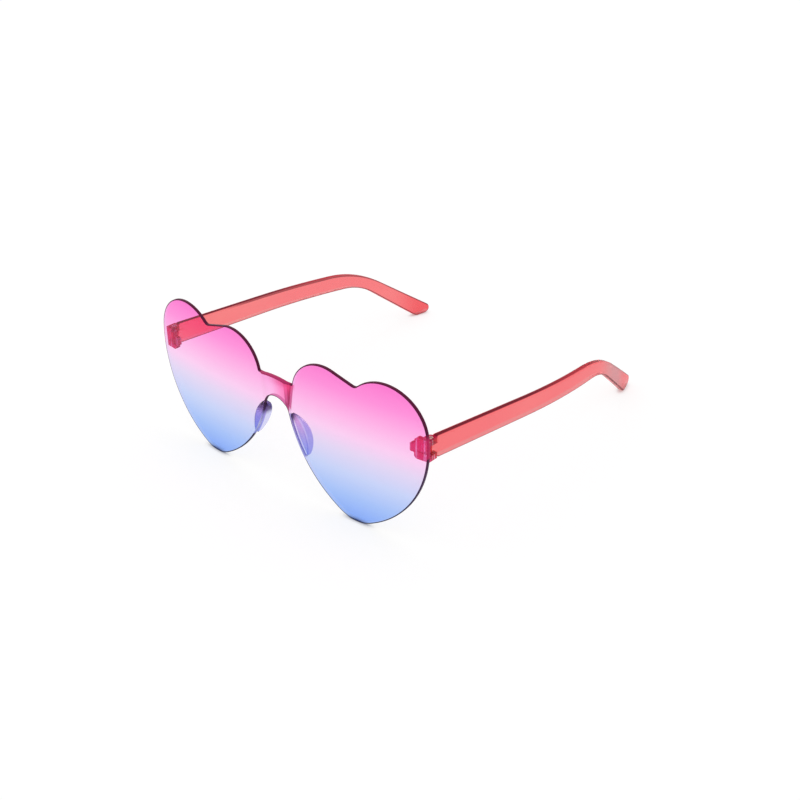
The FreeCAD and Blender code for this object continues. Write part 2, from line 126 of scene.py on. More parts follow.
class Finish:  # the nodes of one material, or of the surroundings
    def __init__(self, name, home="materials", end="ShaderNodeOutputMaterial"):
        self.made = getattr(bpy.data, home).new(name)
        self.made.use_nodes = True
        self.tree = self.made.node_tree
        self.tree.nodes.clear()
        self.end = self.add(end)

    def add(self, kind, settings=None, values=None):
        return addNode(self.tree, kind, settings, values)

    def wire(self, node, output=0):
        return Wire(self, node.outputs[output])

    def place(self):  # Object coordinates, in metres
        return self.wire(self.add("ShaderNodeTexCoord"), "Object")

    def axes(self, vector):
        split = self.add("ShaderNodeSeparateXYZ", None, {"Vector": vector})
        return [self.wire(split, part) for part in range(3)]

    def facing(self):  # the surface's outward direction in the object's axes, met from either side
        outward = 1 - self.wire(self.add("ShaderNodeNewGeometry"), "Backfacing") * 2
        return [part * outward for part in self.axes(self.wire(self.add("ShaderNodeTexCoord"), "Normal"))]

    def grain(self, scale, detail=2.0, stretch=(1.0, 1.0, 1.0)):
        turned = self.add("ShaderNodeMapping", None, {"Vector": self.place(), "Scale": stretch})
        noise = self.add("ShaderNodeTexNoise", None,
                         {"Vector": self.wire(turned), "Scale": scale, "Detail": detail})
        return self.wire(noise)

    def ramp(self, value, stops):
        node = self.add("ShaderNodeValToRGB", None, {"Fac": value})
        elements = node.color_ramp.elements
        while len(elements) < len(stops):
            elements.new(1.0)
        for element, (place, colour) in zip(elements, stops):
            element.position = place
            element.color = colour
        return self.wire(node)

    def mix(self, factor, first, second):  # inputs 6 and 7 and output 2 are the node's colours
        node = self.add("ShaderNodeMix", {"data_type": "RGBA"}, {0: factor, 6: first, 7: second})
        return self.wire(node, 2)

    def bump(self, height, strength, distance):
        return self.wire(self.add("ShaderNodeBump", None,
                                  {"Height": height, "Strength": strength, "Distance": distance}))

    def surface(self, values):
        return self.wire(self.add("ShaderNodeBsdfPrincipled", None, values))

    def done(self, shader):
        self.tree.links.new(shader.socket, self.end.inputs["Surface"])
        return self.made


# lens: the joined hearts, their tint and their rounded, polished edge

lensSheet = {
    "edgeRound": 0.0002,
    "roundSteps": 3,
    "meshStep": 0.0018,
    "bridgeStep": 0.0005,
    "bridgeHalf": 0.0105,
    "bridgeLow": 0.036,
    "bridgeTop": 0.052,
    "rimClear": 0.0005,
    "flatInset": 2.2,  # where the flat faces end and the rounding starts, in roundings
    "safeInset": 0.5,  # where the depth of the rim is read, in roundings
    "weld": 1e-7,
    "castFrom": 0.2,
    "rimWeld": 3e-5,
    "frontFacing": -0.6,
    "wallFacing": 0.2,
    "wallLeast": 0.0003,
    "leanLeast": 0.7,
    "gloss": {"IOR": 1.03, "Transmission Weight": 1.0, "Coat Weight": 0.3, "Coat Roughness": 0.02,
              "Coat IOR": 1.5},
    "haze": 900.0,
    "hazeRough": (0.01, 0.03),
    "wave": (60.0, 1.0),
    "waveDepth": (0.02, 0.0004),
    "saw": (700.0, 3.0, (1.0, 0.15, 1.0)),  # faint polishing lines across the thickness
    "sawDepth": (0.15, 0.0001),
    "sawRough": (0.25, 0.45),
    "innerRough": (0.2, 0.4),
    "edgeGloss": {"IOR": 1.15},
    "innerGloss": {"IOR": 1.03, "Transmission Weight": 1.0},
    "sawLines": tone(130, 70, 110),
    "sawShare": 0.1,
    "height": 0.065,
    "fade": [(0.0, tone(136, 174, 251)), (0.15, tone(167, 196, 250)), (0.31, tone(200, 213, 249)),
             (0.46, tone(228, 215, 244)), (0.57, tone(251, 207, 242)), (0.68, tone(254, 185, 233)),
             (0.85, tone(254, 145, 218)), (1.0, tone(251, 118, 206))],
    # the edge, met from outside and darkened by a painted dark reflection, seen through the sheet, and
    # along the pads
    "edgeFade": [(0.0, tone(20, 24, 50)), (0.25, tone(40, 38, 72)), (0.5, tone(76, 50, 84)),
                 (0.66, tone(78, 18, 50)), (1.0, tone(90, 18, 52))],
    "innerFade": [(0.0, tone(164, 192, 245)), (0.5, tone(226, 216, 244)), (1.0, tone(250, 156, 222))],
    # along the pads: lavender where the pad is bonded on, with a painted highlight in the middle and
    # painted shade at the upper end
    "padSide": [(0.0, tone(150, 160, 240)), (0.35, tone(204, 208, 252)), (0.65, tone(168, 164, 236)),
                (0.8, tone(74, 48, 96)), (1.0, tone(44, 24, 56))],
    "padInner": tone(118, 112, 188),
    "padReach": (0.0166, 0.0176),
    "padSpan": (0.0186, 0.0194, 0.0356, 0.0364),
    "hingeGlow": tone(204, 44, 98),  # painted reflection of the end piece's coral, in the edge beside it
    "hingeReach": (0.064, 0.067),
    "hingeSpan": (0.0394, 0.0405, 0.0473, 0.0504),
}

# painted shade on the bridge, strong on its right and faint on its left: deeper flanks with a darker
# border, a deeper lead in, a deeper band below the top
bridgeTint = {
    "low": 0.0372,
    "top": 0.0506,
    "inner": (0.0052, 0.0056),  # a flank's borders, at the low end and at the top
    "outer": (0.0068, 0.0090),
    "soft": 0.0003,
    "fainter": 0.06,  # what is left of the painted flank shade on the left side
    "middle": (-0.006, 0.006),
    "side": (0.0088, 0.0098),
    "lowFade": 0.001,
    "flank": [(0.0, tone(156, 50, 96)), (0.45, tone(176, 52, 104)), (0.8, tone(236, 62, 126)),
              (1.0, tone(206, 44, 98))],
    "border": tone(168, 40, 90),
    "lead": tone(255, 122, 188),
    "leadFrom": (-0.0034, 0.0056),
    "leadShare": 0.9,
    "arch": tone(186, 84, 140),
    "archSide": (0.0056, 0.0072),
    "archDrop": 0.002,
    # painted shade: a deeper crimson band below the bridge's top
    "glow": tone(228, 66, 134),
    "glowDrop": (0.0048, 0.0014),
    "glowShare": 0.8,
    "crest": tone(190, 44, 104),
    "crestSide": (0.0078, 0.0088),
    "crestDrop": (0.004, 0.002),
}


def bridgeMasks(across, up):  # height up the bridge, and the masks of its painted shade: its flanks, their borders, below its top, the lead in
    soft = bridgeTint["soft"]
    aside = abs(across)
    strong = across.step(*bridgeTint["middle"]).level(bridgeTint["fainter"], 1.0)
    low, top = bridgeTint["low"], bridgeTint["top"]
    share = (up - low) / (top - low)
    inner, outer = share.level(*bridgeTint["inner"]), share.level(*bridgeTint["outer"])
    within = (1 - aside.step(*bridgeTint["side"])) * up.step(low - bridgeTint["lowFade"], low)
    flank = aside.between(inner - soft, inner + soft, outer - soft, outer + soft) * within * strong
    border = aside.step(outer - soft * 3, outer - soft) * flank
    lead = across.step(*bridgeTint["leadFrom"]) * (1 - aside.step(inner - soft, inner + soft)) * within
    under = up.step(*[top - drop for drop in bridgeTint["glowDrop"]]) * within * strong
    return share, flank, border, under, lead


def makeLensTint():
    finish = Finish("lens_tint")
    across, _, up = finish.axes(finish.place())
    haze = finish.grain(lensSheet["haze"])
    colour = finish.ramp(up / lensSheet["height"], lensSheet["fade"])
    share, flank, border, under, lead = bridgeMasks(across, up)
    # painted shade over the bridge, laid on the tint
    colour = finish.mix(lead * bridgeTint["leadShare"], colour, bridgeTint["lead"])
    colour = finish.mix(under * bridgeTint["glowShare"], colour, bridgeTint["glow"])
    colour = finish.mix(flank, colour, finish.ramp(share, bridgeTint["flank"]))
    colour = finish.mix(border, colour, bridgeTint["border"])
    wave = finish.grain(*lensSheet["wave"])
    return finish.done(finish.surface({
        **lensSheet["gloss"],
        "Base Color": colour,
        "Roughness": haze.level(*lensSheet["hazeRough"]),
        "Normal": finish.bump(wave, *lensSheet["waveDepth"]),
    }))


def makeLensEdge():
    finish = Finish("lens_edge")
    across, _, up = finish.axes(finish.place())
    aside = abs(across)
    bonded = (1 - aside.step(*lensSheet["padReach"])) * up.between(*lensSheet["padSpan"])
    beside = aside.step(*lensSheet["hingeReach"]) * up.between(*lensSheet["hingeSpan"])
    crestFrom = [bridgeTint["top"] - drop for drop in bridgeTint["crestDrop"]]
    crest = (1 - aside.step(*bridgeTint["crestSide"])) * up.step(*crestFrom)
    archFrom = bridgeTint["low"] - bridgeTint["archDrop"]
    arch = (1 - aside.step(*bridgeTint["archSide"])) * up.step(archFrom, bridgeTint["low"])
    share = up / lensSheet["height"]
    _, padLow, padHigh, _ = lensSheet["padSpan"]
    saw = finish.grain(*lensSheet["saw"])
    # painted dark reflection on the edge met from outside, crimson along the bridge's top
    shade = finish.mix(crest, finish.ramp(share, lensSheet["edgeFade"]), bridgeTint["crest"])
    # painted reflection of the end piece's coral beside the hinge
    shade = finish.mix(beside, shade, lensSheet["hingeGlow"])
    # lavender where the pads are bonded on, with a painted highlight and painted shade at their upper end
    shade = finish.mix(bonded, shade, finish.ramp((up - padLow) / (padHigh - padLow), lensSheet["padSide"]))
    outside = finish.surface({
        **lensSheet["edgeGloss"],
        "Base Color": finish.mix(saw * lensSheet["sawShare"], shade, lensSheet["sawLines"]),
        "Roughness": saw.level(*lensSheet["sawRough"]),
        "Normal": finish.bump(saw, *lensSheet["sawDepth"]),
    })
    # painted dark reflection along the bridge's arch, seen through the sheet
    through = finish.mix(arch, finish.ramp(share, lensSheet["innerFade"]), bridgeTint["arch"])
    inside = finish.surface({
        **lensSheet["innerGloss"],
        "Base Color": finish.mix(bonded, through, lensSheet["padInner"]),
        "Roughness": saw.level(*lensSheet["innerRough"]),
    })
    back = finish.wire(finish.add("ShaderNodeNewGeometry"), "Backfacing")
    both = finish.add("ShaderNodeMixShader", None, {0: back, 1: outside, 2: inside})
    return finish.done(finish.wire(both))


def walkRim(shell):  # the outline seen from the front, in order
    spec = lensSheet
    line = bmesh.new()
    for edge in shell.edges:
        front, wall = sorted(edge.link_faces, key=lambda face: face.normal.y)
        depths = [corner.co.y for corner in wall.verts]
        upright = abs(wall.normal.y) < spec["wallFacing"] and max(depths) - min(depths) > spec["wallLeast"]
        if front.normal.y < spec["frontFacing"] and upright:
            line.edges.new([line.verts.new((end.co.x, 0.0, end.co.z)) for end in edge.verts])
    bmesh.ops.remove_doubles(line, verts=line.verts, dist=spec["rimWeld"])
    ends = [one for one in line.verts if len(one.link_edges) == 1]
    while ends:  # close the short steps beside the bridge
        last = ends.pop()
        mate = min(ends, key=lambda one: (one.co - last.co).length)
        line.edges.new((last, mate))
        ends.remove(mate)
    here = min(line.verts, key=lambda one: one.co.x)
    side = here.link_edges[0]
    rim = []
    for _ in line.verts:
        rim.append((here.co.x, here.co.z))
        here = side.other_vert(here)
        side = next(one for one in here.link_edges if one != side)
    line.free()
    flat = np.array(rim)
    ahead = np.roll(flat, -1, axis=0)
    turned = (flat[:, 0] * ahead[:, 1] - flat[:, 1] * ahead[:, 0]).sum()
    return flat if turned > 0 else flat[::-1]


def rimNormals(flat):
    run = np.roll(flat, -1, axis=0) - flat
    run /= np.linalg.norm(run, axis=1)[:, None]
    out = np.stack([run[:, 1], -run[:, 0]], axis=1)
    both = out + np.roll(out, 1, axis=0)
    both /= np.linalg.norm(both, axis=1)[:, None]
    lean = np.clip((both * out).sum(1), lensSheet["leanLeast"], 1.0)
    return both / lean[:, None]


def insidePoints(loop, points, clear):
    ahead = np.roll(loop, -1, axis=0)
    run = ahead - loop
    kept = []
    for point in points:
        rel = point - loop
        share = np.clip((rel * run).sum(1) / (run * run).sum(1), 0, 1)
        near = np.linalg.norm(rel - share[:, None] * run, axis=1).min()
        if near < clear:
            continue
        spans = (loop[:, 1] > point[1]) != (ahead[:, 1] > point[1])
        cross = loop[spans, 0] + (point[1] - loop[spans, 1]) / run[spans, 1] * run[spans, 0]
        if (cross > point[0]).sum() % 2:
            kept.append(point)
    return kept


def gridPoints(loop):
    spec = lensSheet
    low, high = loop.min(0), loop.max(0)
    wide = [np.array((x, z)) for x in np.arange(low[0], high[0], spec["meshStep"])
            for z in np.arange(low[1], high[1], spec["meshStep"])]
    half, step = spec["bridgeHalf"], spec["bridgeStep"]
    wide = [one for one in wide if abs(one[0]) > half or not spec["bridgeLow"] < one[1] < spec["bridgeTop"]]
    close = [np.array((x, z)) for x in np.arange(-half, half, step)
             for z in np.arange(spec["bridgeLow"], spec["bridgeTop"], step)]
    return insidePoints(loop, wide + close, spec["rimClear"])


def makeLens():
    spec = lensSheet
    shell = bmesh.new()
    shell.from_mesh(nodes["lens_front"].data)
    bmesh.ops.remove_doubles(shell, verts=shell.verts, dist=spec["weld"])
    shell.normal_update()
    tree = BVHTree.FromBMesh(shell)
    rim = walkRim(shell)
    out = rimNormals(rim)

    def reach(point, side):  # the CAD sheet's front (-1) or back (1) at this place
        start = Vector((point[0], side * spec["castFrom"], point[1]))
        hit = tree.ray_cast(start, Vector((0, -side, 0)))[0]
        if hit is None:
            hit = tree.find_nearest(start)[0]
        return hit.y

    rounding = spec["edgeRound"]
    turns = [math.pi / 2 * step / spec["roundSteps"] for step in range(spec["roundSteps"] + 1)]
    profile = [(rounding * spec["flatInset"], 0.0)]  # how far in from the rim, and how far below the face
    profile += [(rounding * (1 - math.sin(turn)), rounding * (1 - math.cos(turn))) for turn in turns]
    loop = rim - out * profile[0][0]
    flat = list(loop) + gridPoints(loop)
    count = len(loop)
    ring = [(index, (index + 1) % count) for index in range(count)]
    spread = [Vector(one) for one in flat]
    places, _, faces, origins, _, _ = delaunay_2d_cdt(spread, ring, [], 1, spec["weld"])
    front = [Vector((one[0], reach(one, -1), one[1])) for one in places]
    back = [Vector((one[0], reach(one, 1), one[1])) for one in places]
    slot = {source: index for index, sources in enumerate(origins) for source in sources}
    points = front + back
    total = len(front)
    rings = [[slot[index] for index in range(count)]]
    safe = rim - out * rounding * spec["safeInset"]
    nearY = [reach(one, -1) for one in safe]
    farY = [reach(one, 1) for one in safe]
    for inset, sunk in profile[1:]:
        rings.append(list(range(len(points), len(points) + count)))
        points += [Vector((one[0], y + sunk, one[1])) for one, y in zip(rim - out * inset, nearY)]
    for inset, sunk in reversed(profile[1:]):
        rings.append(list(range(len(points), len(points) + count)))
        points += [Vector((one[0], y - sunk, one[1])) for one, y in zip(rim - out * inset, farY)]
    rings.append([total + slot[index] for index in range(count)])
    polygons = [list(face) for face in faces] + [[total + one for one in reversed(face)] for face in faces]
    sheetFaces = len(polygons)
    for near, far in zip(rings, rings[1:]):
        polygons += [[near[index], far[index], far[after], near[after]] for index, after in ring]
    edgeFaces = len(polygons) - sheetFaces
    mesh = bpy.data.meshes.new("lens_sheet")
    mesh.from_pydata([tuple(one) for one in points], [], polygons)
    mesh.materials.append(makeLensTint())
    mesh.materials.append(makeLensEdge())
    mesh.polygons.foreach_set("material_index", [0] * sheetFaces + [1] * edgeFaces)
    mesh.polygons.foreach_set("use_smooth", [True] * len(polygons))
    mesh.update()
    mesh.validate()
    shell.free()
    piece = bpy.data.objects.new("lens_sheet", mesh)
    scene.collection.objects.link(piece)
    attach(piece, "front")
    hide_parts("lens_front")
    print("lens sheet:", len(mesh.polygons), "faces, rim points", count)


makeLens()

# temples and end pieces: translucent coral plastic

coral = {
    "flow": (55.0, 3.0, (1.0, 0.25, 1.0)),
    "flowDepth": (0.05, 0.0004),
    "speck": 1400.0,
    "speckRough": (0.16, 0.26),
    "gloss": {"IOR": 1.06, "Specular IOR Level": 0.3, "Coat Roughness": 0.05},
    "coatShare": 0.3,
    "side": tone(250, 121, 126),
    "warm": tone(252, 142, 140),
    "inward": tone(252, 138, 140),
    # painted sheen: a pale grey cast on the outer side of the neck
    "paintedNeckSheen": tone(184, 164, 170),
    # painted shade: a dark line along the rounded edges
    "line": tone(76, 24, 32),
    # painted light: the underside, met from inside, paler
    "under": tone(228, 178, 176),
    "tipLine": (0.045, 0.060),
    "innerLine": (-0.05, -0.03),
    # painted shade on the top face: dark shoulders, darkest along the middle line, lighter towards the back
    "shoulder": tone(182, 54, 66),
    "crest": tone(58, 3, 12),
    "crestBack": tone(158, 26, 39),
    "tip": tone(246, 100, 106),
    "clear": 0.9,
    "darkTo": (-0.02, 0.04),
    "middle": (0.07335, 0.0457, 1.587),  # the temple's middle line: place, splay, bow
    "bowFrom": -0.0209,
    "lineHalf": (0.0006, 0.0012),
    "spread": (0.0, 0.035),
    "neckSpan": (0.036, 0.058, 0.062, 0.080),
    "warmFrom": (0.4, 0.8),
    "warmShare": 0.5,
    "neckShare": 0.9,
    "underShare": 0.85,
    "lineShare": 0.85,
    # how far a face is turned, as a part of its outward direction, for a shade to set in
    "outerTurn": (-0.01, 0.01),
    "flatTurn": (0.1, 0.3),
    "topTurn": (0.3, 0.6),
    "belowTop": (0.0, 0.1),
    "upperTurn": (0.08, 0.3),
    "lowerTurn": (0.02, 0.12),
    "underTurn": (0.4, 0.8),
    "uprightTurn": (0.86, 0.97),
}

hingeCoral = {
    **coral,
    "side": tone(238, 62, 132),
    "warm": tone(246, 108, 156),
    "inward": tone(238, 62, 132),
    # painted shade and light as on the temples, in deeper colours
    "line": tone(150, 40, 84),
    "under": tone(238, 80, 140),
    "shoulder": tone(206, 58, 104),
    "crest": tone(176, 36, 84),
    "clear": 0.6,
    "rear": tone(222, 62, 78),
    "rearFrom": (-0.0762, -0.0748),
    # painted highlight streaks, pale and upright
    "paintedHighlight": (1100.0, 0.0, (1.0, 1.0, 0.04)),
    "gleam": tone(253, 200, 222),
    "gleamShare": 0.85,
    "gleamFrom": (0.56, 0.64),
}


def makeCoral(name, shades):
    finish = Finish(name)
    sideways, _, up = finish.facing()
    across, back, _ = finish.axes(finish.place())
    outer = (sideways * across).step(*shades["outerTurn"])  # 1 on the sides that face away from the head
    sideways = abs(sideways)
    met = 1 - finish.wire(finish.add("ShaderNodeNewGeometry"), "Backfacing")  # 1 where met from outside
    top = (1 - sideways.step(*shades["flatTurn"])) * up.step(*shades["topTurn"])
    # where the painted dark line along the rounded edges falls
    lined = (1 - up.step(*shades["belowTop"])).most(back.step(*shades["tipLine"]))
    lined = lined.most((1 - outer) * back.step(*shades["innerLine"]))
    bent = up.step(*shades["upperTurn"]).most((0 - up).step(*shades["lowerTurn"]))
    rounded = bent * sideways.step(*shades["flatTurn"]) * lined
    flow = finish.grain(*shades["flow"])
    speck = finish.grain(shades["speck"])
    paintedNeckSheen = back.between(*shades["neckSpan"])
    body = finish.mix((1 - outer) * met, shades["side"], shades["inward"])
    body = finish.mix(flow.step(*shades["warmFrom"]) * shades["warmShare"], body, shades["warm"])
    if "rear" in shades:  # the warmer half behind the lens, and painted highlight streaks
        body = finish.mix(back.step(*shades["rearFrom"]), body, shades["rear"])
        paintedHighlight = finish.grain(*shades["paintedHighlight"]).step(*shades["gleamFrom"])
        body = finish.mix(paintedHighlight * shades["gleamShare"], body, shades["gleam"])
    # painted sheen on the outer side of the neck
    body = finish.mix(paintedNeckSheen * outer * met * shades["neckShare"], body, shades["paintedNeckSheen"])
    body = finish.mix(back.step(*shades["neckSpan"][2:]), body, shades["tip"])
    # painted light on the underside met from inside
    seenThrough = (0 - up).step(*shades["underTurn"]) * (1 - met)
    body = finish.mix(seenThrough * shades["underShare"], body, shades["under"])
    body = finish.mix(rounded * met * shades["lineShare"], body, shades["line"])
    # painted shade on the top face, darkest along its middle line
    place, splay, bow = shades["middle"]
    run = back - shades["bowFrom"]
    past = run.most(0.0)
    off = abs(abs(across) - (run * splay + place - past * past * bow))
    line = (1 - off.step(*shades["lineHalf"])).most(back.step(*shades["spread"]))
    crest = finish.mix(back.step(*shades["darkTo"]), shades["crest"], shades["crestBack"])
    crest = finish.mix(line, shades["shoulder"], crest)
    return finish.done(finish.surface({
        **shades["gloss"],
        "Base Color": finish.mix(top, body, crest),
        "Roughness": speck.level(*shades["speckRough"]),
        "Transmission Weight": shades["clear"],
        "Coat Weight": sideways.step(*shades["uprightTurn"]) * shades["coatShare"],
        "Normal": finish.bump(flow, *shades["flowDepth"]),
    }))


dyed = {
    "temple": makeCoral("coral_plastic", coral),
    "end_piece": makeCoral("coral_hinge", hingeCoral),
}
for pair, plastic in dyed.items():
    for side in ("right", "left"):
        nodes[pair + "_" + side].material_slots[0].material = plastic
print("coral plastic on temples and end pieces")

# nose pads: clear moulded plastic, with painted shade at the upper end

nosePad = {
    "fullest": 0.48,  # share of the height at which it stands furthest back
    "half": 0.54,
    "ease": 2.2,
    "fullness": 0.7,
    "least": 0.2,
    "meshStep": 0.0006,
    "passes": 6,
    "weld": 1e-6,
    "seatFacing": -0.9,
    "fitScale": 100,
    "sharpFrom": math.radians(40),
    "gloss": {"IOR": 1.08, "Transmission Weight": 1.0, "Coat Weight": 0.3, "Coat Roughness": 0.03},
    "haze": 1100.0,
    "hazeRough": (0.04, 0.12),
    "hazeDepth": (0.04, 0.0002),
    "low": 0.0192,
    "top": 0.0369,
    "front": [(0.0, tone(112, 132, 224)), (0.4, tone(138, 134, 222)), (0.8, tone(184, 140, 212)),
              (1.0, tone(170, 122, 196))],
    "belly": tone(180, 180, 238),
    "nose": tone(250, 250, 254),
    "noseEdge": (0.0061, 0.2, 12.3),  # how far the nose edge stands off the middle, going down
    "gleam": tone(244, 246, 254),
    "gleamSpan": (0.0006, 0.0009, 0.0013, 0.0017),
    # painted shade at the upper end, more of it on the left pad
    "paintedShade": tone(66, 42, 90),
    "duskFrom": (0.0312, 0.0346),
    "duskTo": (0.0012, 0.0024),
    "duskMore": 0.005,  # further across on the left pad, and further down
    "duskLower": 0.0026,
    "handFrom": (-0.0001, 0.0001),
    "frontTurn": (0.4, 0.7),
    "noseTurn": (0.3, 0.6),
}


def makePadClear():
    finish = Finish("pad_clear")
    sideways, ahead, _ = finish.facing()
    aside, _, up = finish.axes(finish.place())
    hand = aside.step(*nosePad["handFrom"]) * 2 - 1  # 1 on the right pad, -1 on the left
    share = (up - nosePad["low"]) / (nosePad["top"] - nosePad["low"])
    drop = nosePad["top"] - up
    start, slope, bow = nosePad["noseEdge"]
    off = abs(aside) - (drop * drop * bow + drop * slope + start)
    haze = finish.grain(nosePad["haze"])
    gleam = off.between(*nosePad["gleamSpan"])
    front = finish.mix(gleam, finish.ramp(share, nosePad["front"]), nosePad["gleam"])
    colour = finish.mix((0 - ahead).step(*nosePad["frontTurn"]), nosePad["belly"], front)
    colour = finish.mix((0 - sideways * hand).step(*nosePad["noseTurn"]), colour, nosePad["nose"])
    # painted shade at the upper end, reaching further on the left pad
    spread = off - (1 - hand) * nosePad["duskMore"] / 2
    lift = up + (1 - hand) * nosePad["duskLower"] / 2
    paintedShade = lift.step(*nosePad["duskFrom"]) * (1 - spread.step(*nosePad["duskTo"]))
    return finish.done(finish.surface({
        **nosePad["gloss"],
        "Base Color": finish.mix(paintedShade, colour, nosePad["paintedShade"]),
        "Roughness": haze.level(*nosePad["hazeRough"]),
        "Normal": finish.bump(haze, *nosePad["hazeDepth"]),
    }))


def makePad(name, clear):  # a half-moon fin: full in the middle, thin at both ends
    spec = nosePad
    form = bmesh.new()
    form.from_mesh(nodes[name].data)
    bmesh.ops.remove_doubles(form, verts=form.verts, dist=spec["weld"])
    for _ in range(spec["passes"]):
        long = [edge for edge in form.edges if edge.calc_length() > spec["meshStep"]]
        if long:
            bmesh.ops.subdivide_edges(form, edges=long, cuts=1)
            bmesh.ops.triangulate(form, faces=[face for face in form.faces if len(face.verts) > 3])
    bmesh.ops.dissolve_degenerate(form, dist=spec["weld"], edges=form.edges)
    form.normal_update()
    seated = [corner for corner in form.verts
              if any(face.normal.y < spec["seatFacing"] for face in corner.link_faces)]

    def terms(corner):  # of the curved seat on the lens
        x, z = corner.co.x * spec["fitScale"], corner.co.z * spec["fitScale"]
        return [1.0, x, z, x * x, x * z, z * z]

    bed = np.array([terms(one) for one in seated])
    fit = np.linalg.lstsq(bed, np.array([one.co.y for one in seated]), rcond=None)[0]
    low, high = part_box(name)
    for corner in form.verts:
        share = (corner.co.z - low.z) / (high.z - low.z)
        part = 1 - min(abs((share - spec["fullest"]) / spec["half"]), 1.0) ** spec["ease"]
        seat = float(np.dot(terms(corner), fit))
        keep = max(part ** spec["fullness"], spec["least"])
        corner.co.y = seat + (corner.co.y - seat) * keep
    mesh = bpy.data.meshes.new(name + "_fin")
    form.to_mesh(mesh)
    form.free()
    mesh.validate()
    mesh.polygons.foreach_set("use_smooth", [True] * len(mesh.polygons))
    mesh.set_sharp_from_angle(angle=spec["sharpFrom"])
    mesh.materials.append(clear)
    piece = bpy.data.objects.new(name + "_fin", mesh)
    scene.collection.objects.link(piece)
    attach(piece, "front")
    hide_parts(name)
    print("nose pad:", name, len(mesh.polygons), "faces")


padClear = makePadClear()
for side in ("right", "left"):
    makePad("nose_pad_" + side, padClear)

# hinge screws: a slotted head and a plain shank, laid out by a node tree

hingeScrew = {
    "sizes": {
        "Head Radius": 0.00115,
        "Head Height": 0.0007,
        "Head Round": 0.00016,
        "Shank Radius": 0.0006,
        "Slot Width": 0.00035,
        "Slot Depth": 0.0003,
    },
    "around": 40,
    "slotReach": 0.01,
    "weld": 1e-6,
    "brush": (2600.0, 3.0, (1.0, 1.0, 0.2)),
    "brushDepth": (0.1, 0.0001),
    "brushRough": (0.2, 0.45),
    "dark": tone(196, 132, 134),  # steel, with a painted rosy reflection of the plastic round it
    "pale": tone(226, 172, 170),
}


def makeSteel():
    finish = Finish("screw_steel")
    brush = finish.grain(*hingeScrew["brush"])
    return finish.done(finish.surface({
        "Base Color": finish.mix(brush, hingeScrew["dark"], hingeScrew["pale"]),
        "Metallic": 1.0,
        "Roughness": brush.level(*hingeScrew["brushRough"]),
        "Normal": finish.bump(brush, *hingeScrew["brushDepth"]),
    }))


def screwTree(steel):
    tree = bpy.data.node_groups.new("hinge_screw", "GeometryNodeTree")
    tree.interface.new_socket("Geometry", in_out="OUTPUT", socket_type="NodeSocketGeometry")
    for name in list(hingeScrew["sizes"]) + ["Length", "Top", "Half Span", "Back"]:
        tree.interface.new_socket(name, in_out="INPUT", socket_type="NodeSocketFloat")

    def add(kind, settings=None, values=None):
        return addNode(tree, kind, settings, values)

    def maths(operation, first, second):
        return add("ShaderNodeMath", {"operation": operation}, {0: first, 1: second}).outputs[0]

    def spot(x, y, z):
        return add("ShaderNodeCombineXYZ", None, {"X": x, "Y": y, "Z": z}).outputs[0]

    def cone(low, high, depth, lift):
        made = add("GeometryNodeMeshCone", None, {"Vertices": hingeScrew["around"], "Side Segments": 1,
                                                  "Radius Bottom": low, "Radius Top": high, "Depth": depth})
        return add("GeometryNodeTransform", None,
                   {"Geometry": made.outputs[0], "Translation": spot(0.0, 0.0, lift)}).outputs[0]

    def minus(length):
        return maths("MULTIPLY", length, -1.0)

    def join(first, second):
        both = add("GeometryNodeJoinGeometry", None, {0: first})
        tree.links.new(second, both.inputs[0])
        return both.outputs[0]

    size = add("NodeGroupInput").outputs
    wide, rounding = size["Head Radius"], size["Head Round"]
    crown = cone(wide, maths("SUBTRACT", wide, rounding), rounding, minus(rounding))
    drum = cone(wide, wide, maths("SUBTRACT", size["Head Height"], rounding), minus(size["Head Height"]))
    shank = cone(size["Shank Radius"], size["Shank Radius"], size["Length"], minus(size["Length"]))
    welded = add("GeometryNodeMergeByDistance", None,
                 {"Geometry": join(drum, crown), "Distance": hingeScrew["weld"]})
    groove = spot(hingeScrew["slotReach"], size["Slot Width"], maths("MULTIPLY", size["Slot Depth"], 2.0))
    bar = add("GeometryNodeMeshCube", None, {"Size": groove})
    cut = add("GeometryNodeMeshBoolean", {"operation": "DIFFERENCE"},
              {"Mesh 1": welded.outputs[0], "Mesh 2": bar.outputs[0]})
    whole = join(cut.outputs[0], shank)
    left = spot(minus(size["Half Span"]), size["Back"], size["Top"])
    right = spot(size["Half Span"], size["Back"], size["Top"])
    row = add("GeometryNodeMeshLine", {"mode": "END_POINTS"},
              {"Count": 2, "Start Location": left, "Offset": right})
    sown = add("GeometryNodeInstanceOnPoints", None,
               {"Points": row.outputs[0], "Instance": whole})
    real = add("GeometryNodeRealizeInstances", None, {"Geometry": sown.outputs[0]})
    dressed = add("GeometryNodeSetMaterial", None, {"Geometry": real.outputs[0], "Material": steel})
    add("NodeGroupOutput", None, {0: dressed.outputs[0]})
    return tree


